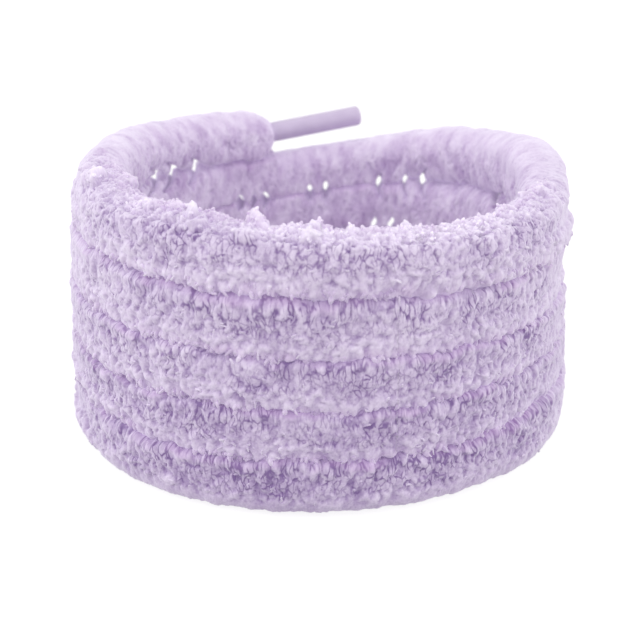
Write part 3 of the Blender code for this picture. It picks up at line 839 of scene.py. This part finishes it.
def set_inputs(tree, node, inputs):
    """Link the inputs given as sockets, and set the others to their values."""
    for key, value in inputs.items():
        if isinstance(value, bpy.types.NodeSocket):
            tree.links.new(value, node.inputs[key])
        else:
            node.inputs[key].default_value = value


def add_node(tree, kind, inputs=None, **settings):
    node = tree.nodes.new("ShaderNode" + kind)
    for key, value in settings.items():
        setattr(node, key, value)
    set_inputs(tree, node, inputs or {})
    return node


def add_ramp(tree, factor, stops):
    """Colour ramp through stops of (position, colour)."""
    node = add_node(tree, "ValToRGB", {"Fac": factor})
    elements = node.color_ramp.elements
    elements[0].position, elements[0].color = stops[0]
    elements[1].position, elements[1].color = stops[-1]
    for position, colour in stops[1:-1]:
        elements.new(position).color = colour
    return node.outputs["Color"]


def new_material(name):
    material = bpy.data.materials.new(name)
    material.use_nodes = True
    tree = material.node_tree
    return material, tree, tree.nodes["Principled BSDF"]


def pile_material():
    material, tree, bsdf = new_material("lilac_chenille_pile")

    def attribute(key, output="Fac"):
        return add_node(tree, "Attribute", attribute_name=key).outputs[output]

    def calc(operation, *values):
        return add_node(tree, "Math", dict(enumerate(values)), operation=operation).outputs[0]

    def vector(operation, *values):
        return add_node(tree, "VectorMath", dict(enumerate(values)),
                        operation=operation).outputs[0]

    def cord_noise(scale, detail):
        return add_node(tree, "TexNoise", {"Scale": scale, "Detail": detail, "Vector": cord})

    def smooth_range(value, low, high, to_low, to_high):
        return add_node(tree, "MapRange",
                        {"Value": value, "From Min": low, "From Max": high,
                         "To Min": to_low, "To Max": to_high},
                        interpolation_type="SMOOTHSTEP").outputs["Result"]

    def mix_colour(factor, first, second):
        return add_node(tree, "Mix", {"Factor": factor, "A": first, "B": second},
                        data_type="RGBA").outputs["Result"]

    tone, groove, crack_weight = (attribute(key) for key in ("tone", "groove", "crack"))
    cord = attribute("cord", "Vector")
    # fine fibre, a few to the millimetre
    fine = cord_noise(scale=2.6, detail=3.0).outputs["Fac"]
    # painted shade: thin dark cracks between strands that run round the section and curl
    strand_size = (0.82, 2.5, 2.5)
    curl = (2.6, 1.1, 1.1)
    warp = cord_noise(scale=0.38, detail=1.5).outputs["Color"]
    shift = vector("MULTIPLY", vector("SUBTRACT", warp, (0.5, 0.5, 0.5)), curl)
    squeezed = vector("MULTIPLY", cord, tuple(1 / size for size in strand_size))
    cells = add_node(tree, "TexVoronoi", {"Scale": 1.0, "Vector": vector("ADD", squeezed, shift)},
                     feature="DISTANCE_TO_EDGE")
    line = smooth_range(cells.outputs["Distance"], low=0.02, high=0.14, to_low=1.0, to_high=0.0)
    patches = cord_noise(scale=0.75, detail=1.0).outputs["Fac"]
    gate = smooth_range(patches, low=0.36, high=0.52, to_low=0.12, to_high=1.0)
    crack = calc("MULTIPLY", calc("MULTIPLY", line, gate), crack_weight)

    total = calc("ADD", tone, calc("MULTIPLY_ADD", fine, 0.42, -0.21))
    # the cracks darken the colour as painted shade
    total = calc("SUBTRACT", total, calc("MULTIPLY", crack, 0.34))
    lilac = add_ramp(tree, total, [
        (0.0, srgb(124, 101, 148)), (0.2, srgb(158, 138, 176)), (0.5, srgb(200, 186, 211)),
        (0.75, srgb(221, 210, 229)), (1.0, srgb(240, 233, 245))])
    pinkish = add_ramp(tree, total, [
        (0.0, srgb(150, 120, 168)), (0.5, srgb(196, 173, 208)), (1.0, srgb(220, 200, 226))])
    # painted shade: the grooves take the darker pink ramp
    colour = mix_colour(calc("MULTIPLY", groove, 0.75), lilac, pinkish)
    # painted light: loose fibres seen edge on are painted lighter, and the pile glows faintly in
    # its own colour in place of light soaking through it
    facing = add_node(tree, "LayerWeight", {"Blend": 0.5}).outputs["Facing"]
    painted_rim_light = calc("MULTIPLY", calc("POWER", facing, 2.0), 0.7)
    colour = mix_colour(painted_rim_light, colour, srgb(240, 233, 248))
    relief = calc("SUBTRACT", calc("MULTIPLY", fine, 0.6), crack)
    bump = add_node(tree, "Bump", {"Strength": 0.5, "Distance": 0.00015, "Height": relief})
    # painted light: the emission makes the pile glow faintly in its own colour, lifting its shade
    set_inputs(tree, bsdf, {
        "Base Color": colour, "Emission Color": colour, "Emission Strength": 0.24,
        "Roughness": 0.9, "Specular IOR Level": 0.1,
        "Sheen Weight": 0.5, "Sheen Roughness": 0.4, "Sheen Tint": srgb(240, 232, 250),
        "Normal": bump.outputs["Normal"]})
    return material


def aglet_material():
    """Smooth lilac plastic, faintly mottled."""
    material, tree, bsdf = new_material("lilac_tip_plastic")
    place = add_node(tree, "TexCoord").outputs["Object"]
    mottle = add_node(tree, "TexNoise", {"Scale": 320.0, "Detail": 4.0, "Vector": place})
    mottle = mottle.outputs["Fac"]
    rough = add_node(tree, "MapRange", {"Value": mottle, "To Min": 0.34, "To Max": 0.46})
    bump = add_node(tree, "Bump", {"Strength": 0.08, "Distance": 0.0001, "Height": mottle})
    set_inputs(tree, bsdf, {
        "Base Color": add_ramp(tree, mottle, [(0.3, srgb(206, 191, 219)),
                                              (0.7, srgb(214, 200, 226))]),
        "Roughness": rough.outputs["Result"],
        "Normal": bump.outputs["Normal"]})
    return material


def cord_material():
    """Fused cord end inside the tip: woven, darker lilac."""
    material, tree, bsdf = new_material("fused_cord_end")
    place = add_node(tree, "TexCoord").outputs["Object"]
    wave = add_node(tree, "TexWave", {"Scale": 900.0, "Distortion": 2.0, "Vector": place},
                    wave_type="BANDS", bands_direction="DIAGONAL")
    colour = add_ramp(tree, wave.outputs["Fac"], [(0.2, srgb(140, 118, 164)),
                                                  (0.8, srgb(178, 158, 198))])
    set_inputs(tree, bsdf, {"Base Color": colour, "Roughness": 0.8})
    return material


PILE, AGLET, CORD = pile_material(), aglet_material(), cord_material()

# ---------------------------------------------------------------------------
# Pieces: arcs that ride on a turn, and arcs that blend across each joint
# ---------------------------------------------------------------------------
HALF_CROSSING = 45.0                # degrees to either side of a cut
TOP_BEND = (122.0, 160.0)           # bearings of the bend of the upper tail
TURN_1_SPLITS = [240.0, 330.0]      # bearings where the pile of turn 1 is divided
BOTTOM_BEND_START = BOTTOM_BEARING - 15.0
BOTTOM_BEND_END = run_at(BOTTOM_BEARING) + 14.0     # as a run


def pile_piece(name, start, end, fine=False):
    first, last = int(round(start / ROW_STEP)), int(round(end / ROW_STEP))
    start, end = first * ROW_STEP, last * ROW_STEP
    parts = [tube(first, last, FINE_COLUMNS if fine else COARSE_COLUMNS)]
    parts += fluff(start, end)
    parts += drapes(start, end)
    piece = make_mesh(name, *join(parts), PILE)
    return piece


def blend_piece(name, start, end, fine):
    piece = pile_piece(name, start, end, fine)
    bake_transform(piece)


def build_top_tail():
    bend_start, bend_end = (run_at(bearing) for bearing in TOP_BEND)
    piece = pile_piece("pile_top_tail_end", 0.0, bend_start, True)
    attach(piece, "top_tail")
    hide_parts("top_tail_pile", "top_tail_core")
    blend_piece("pile_top_tail_bend", bend_start, bend_end, True)


def build_turns():
    first = TOP_BEND[1]
    for k in range(1, 6):
        cut = TURN_ENDS[k]
        last = cut - HALF_CROSSING if k < 5 else BOTTOM_BEND_START
        splits = {1: TURN_1_SPLITS, 5: []}.get(k, [(first + last) / 2])
        bounds = [first] + splits + [last]
        for i, letter in enumerate("abc"[:len(bounds) - 1]):
            piece = pile_piece("pile_turn_%d_%s" % (k, letter),
                               run_at(bounds[i]), run_at(bounds[i + 1]), k == 1)
            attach(piece, "turn_%d" % k)
            if i == 0:
                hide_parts("pile_turn_%d" % k, "core_turn_%d" % k)
        if k < 5:
            first = cut + HALF_CROSSING
            blend_piece("pile_crossing_%d" % k,
                        run_at(last), run_at(first), k == 1)


def build_bottom_tail():
    blend_piece("pile_bottom_tail_bend",
                run_at(BOTTOM_BEND_START), BOTTOM_BEND_END, True)
    piece = pile_piece("pile_bottom_tail_end", BOTTOM_BEND_END, LENGTH, True)
    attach(piece, "bottom_tail")
    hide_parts("bottom_tail_pile", "bottom_tail_core")


def aglet_profile(start, end, full):
    """Outline from root to tip as (distance from the hinge, radius)."""
    # crimped root
    profile = [(start - 1.6, full * 0.80), (start - 0.6, full * 0.84),
               (start + 0.3, full * 0.90), (start + 0.9, full * 0.975)]
    # long, faintly wavy barrel
    for place in np.linspace(start + 2.0, end - 1.2, 22):
        profile.append((place, full * (1.0 + 0.006 * math.sin(place * 1.7))))
    # blunt rounded tip
    for share in np.linspace(0, 1, 7)[1:]:
        angle = share * math.pi / 2
        profile.append((end - 0.75 + 0.75 * math.sin(angle), full - 0.62 * (1 - math.cos(angle))))
    profile.append((end + 0.07, full * 0.45))
    return np.array(profile)


def build_aglet(prefix):
    """Tip fitted to the frame's sleeve: its axis runs from the hinge to the middle."""
    sleeve = frame["nodes"][prefix + "_aglet_sleeve"]
    corners = np.array([vertex.co for vertex in sleeve.data.vertices], float) / MM
    joint = next(j for j in frame["joints"] if j["child"] == prefix + "_aglet")
    hinge = np.array(joint["pos_m"], float) / MM
    axis = (corners.max(0) + corners.min(0)) / 2 - hinge
    axis /= np.linalg.norm(axis)
    along = (corners - hinge) @ axis
    full = np.linalg.norm((corners - hinge) - np.outer(along, axis), axis=1).max()
    side = np.cross([0, 0, 1.0], axis)
    side /= np.linalg.norm(side)
    top = np.cross(axis, side)

    sides = 72
    end = along.max()
    profile = aglet_profile(along.min(), end, full)
    angle = np.arange(sides) * 2 * np.pi / sides
    # lap seam of the wrapped sleeve along its underside: a notch and a raised edge
    seam_angle = 4.45
    lap = (1.0 - 0.022 * np.exp(-((angle - seam_angle) / 0.05) ** 2)
           + 0.012 * step(angle, seam_angle, 0.06) * (1 - step(angle, 4.75, 0.5)))
    reach_ = profile[:, 1][:, None] * lap[None]
    rings = (hinge + profile[:, 0][:, None, None] * axis
             + (reach_ * np.cos(angle))[..., None] * side
             + (reach_ * np.sin(angle))[..., None] * top)
    tip, root = hinge + axis * (end + 0.1), hinge + axis * profile[0, 0]
    tip_index = len(profile) * sides
    quads, root_fan, tip_fan = ring_faces(len(profile), sides, tip_index + 1, tip_index)
    piece = make_mesh("aglet_" + prefix, np.concatenate([rings.reshape(-1, 3), [tip, root]]),
                      [quads, tip_fan, root_fan], {}, AGLET)
    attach(piece, prefix + "_aglet")
    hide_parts(prefix + "_aglet_sleeve")
    plug = frame["nodes"][prefix + "_cord_tip"]
    plug.data.materials.clear()
    plug.data.materials.append(CORD)


build_top_tail()
build_turns()
build_bottom_tail()
for prefix in ("top", "bottom"):
    build_aglet(prefix)

# ---------------------------------------------------------------------------
# Stage, light, camera; places in metres
# ---------------------------------------------------------------------------
scene = bpy.context.scene
scene.view_settings.view_transform = "Standard"
scene.view_settings.look = "None"


def floor_material():
    """Near white to the camera, grey in the light it throws back."""
    material, tree, bsdf = new_material("pale_floor")
    matt = {"Roughness": 0.9, "Specular IOR Level": 0.0}
    set_inputs(tree, bsdf, {"Base Color": (0.55, 0.55, 0.55, 1), **matt})
    seen = add_node(tree, "BsdfPrincipled", {
        "Base Color": (0.30, 0.30, 0.30, 1), **matt,
        "Emission Color": (1, 1, 1, 1), "Emission Strength": 0.84})
    camera_ray = add_node(tree, "LightPath").outputs["Is Camera Ray"]
    chosen = add_node(tree, "MixShader", {"Fac": camera_ray, 1: bsdf.outputs[0],
                                          2: seen.outputs[0]})
    set_inputs(tree, tree.nodes["Material Output"], {"Surface": chosen.outputs[0]})
    return material


def build_floor():
    half = 3.0
    mesh = bpy.data.meshes.new("floor")
    mesh.from_pydata([(-half, -half, 0), (half, -half, 0), (half, half, 0), (-half, half, 0)],
                     [], [(0, 1, 2, 3)])
    floor = bpy.data.objects.new("floor", mesh)
    floor.location = (0, 0, -0.0004)
    scene.collection.objects.link(floor)
    mesh.materials.append(floor_material())


def build_world():
    """White all round for the camera; as light a soft dome, strongest overhead."""
    world = bpy.data.worlds.new("studio")
    world.use_nodes = True
    tree = world.node_tree
    direction = add_node(tree, "TexCoord").outputs["Generated"]
    split = add_node(tree, "SeparateXYZ", {"Vector": direction})
    dome = add_node(tree, "MapRange", {"Value": split.outputs["Z"], "From Min": -0.2,
                                       "From Max": 1.0, "To Min": 0.60, "To Max": 0.84})
    camera_ray = add_node(tree, "LightPath").outputs["Is Camera Ray"]
    level = add_node(tree, "Mix", {"Factor": camera_ray, "A": dome.outputs["Result"], "B": 1.0},
                     data_type="FLOAT")
    set_inputs(tree, tree.nodes["Background"],
               {"Color": (1, 1, 1, 1), "Strength": level.outputs["Result"]})
    scene.world = world


def aim(thing, location, target):
    thing.location = location
    thing.rotation_mode = "QUATERNION"
    toward = Vector(target) - Vector(location)
    thing.rotation_quaternion = toward.to_track_quat("-Z", "Y")
    scene.collection.objects.link(thing)


def build_light(name, location, size, power):
    light = bpy.data.lights.new(name, "AREA")
    light.shape = "SQUARE"
    light.size = size
    light.energy = power
    aim(bpy.data.objects.new(name, light), location, target=(0, 0, 0.03))


def build_camera():
    """In front of the coil and a little above it, with a shallow depth of field."""
    lens = bpy.data.cameras.new("camera")
    lens.sensor_width = 36.0
    lens.lens = 74.041875
    lens.clip_start = 0.01
    lens.clip_end = 20.0
    camera = bpy.data.objects.new("camera", lens)
    aim(camera, Vector(EYE) * MM, Vector(MIDDLE + (0.2, 0.0, 16.6)) * MM)
    scene.camera = camera
    focus = bpy.data.objects.new("focus", None)
    focus.location = Vector(MIDDLE + (0, 0, 117.0)) * MM
    scene.collection.objects.link(focus)
    lens.dof.use_dof = True
    lens.dof.focus_object = focus
    lens.dof.aperture_fstop = 26.0


build_floor()
build_world()
build_light("key", (-0.25, -0.35, 0.75), size=0.6, power=0.8)
build_light("front", (0.1, -0.95, 0.6), size=0.7, power=2.0)
build_light("left", (-0.95, 0.05, 0.25), size=0.6, power=2.6)
build_light("right", (0.95, 0.05, 0.25), size=0.6, power=1.9)
build_camera()
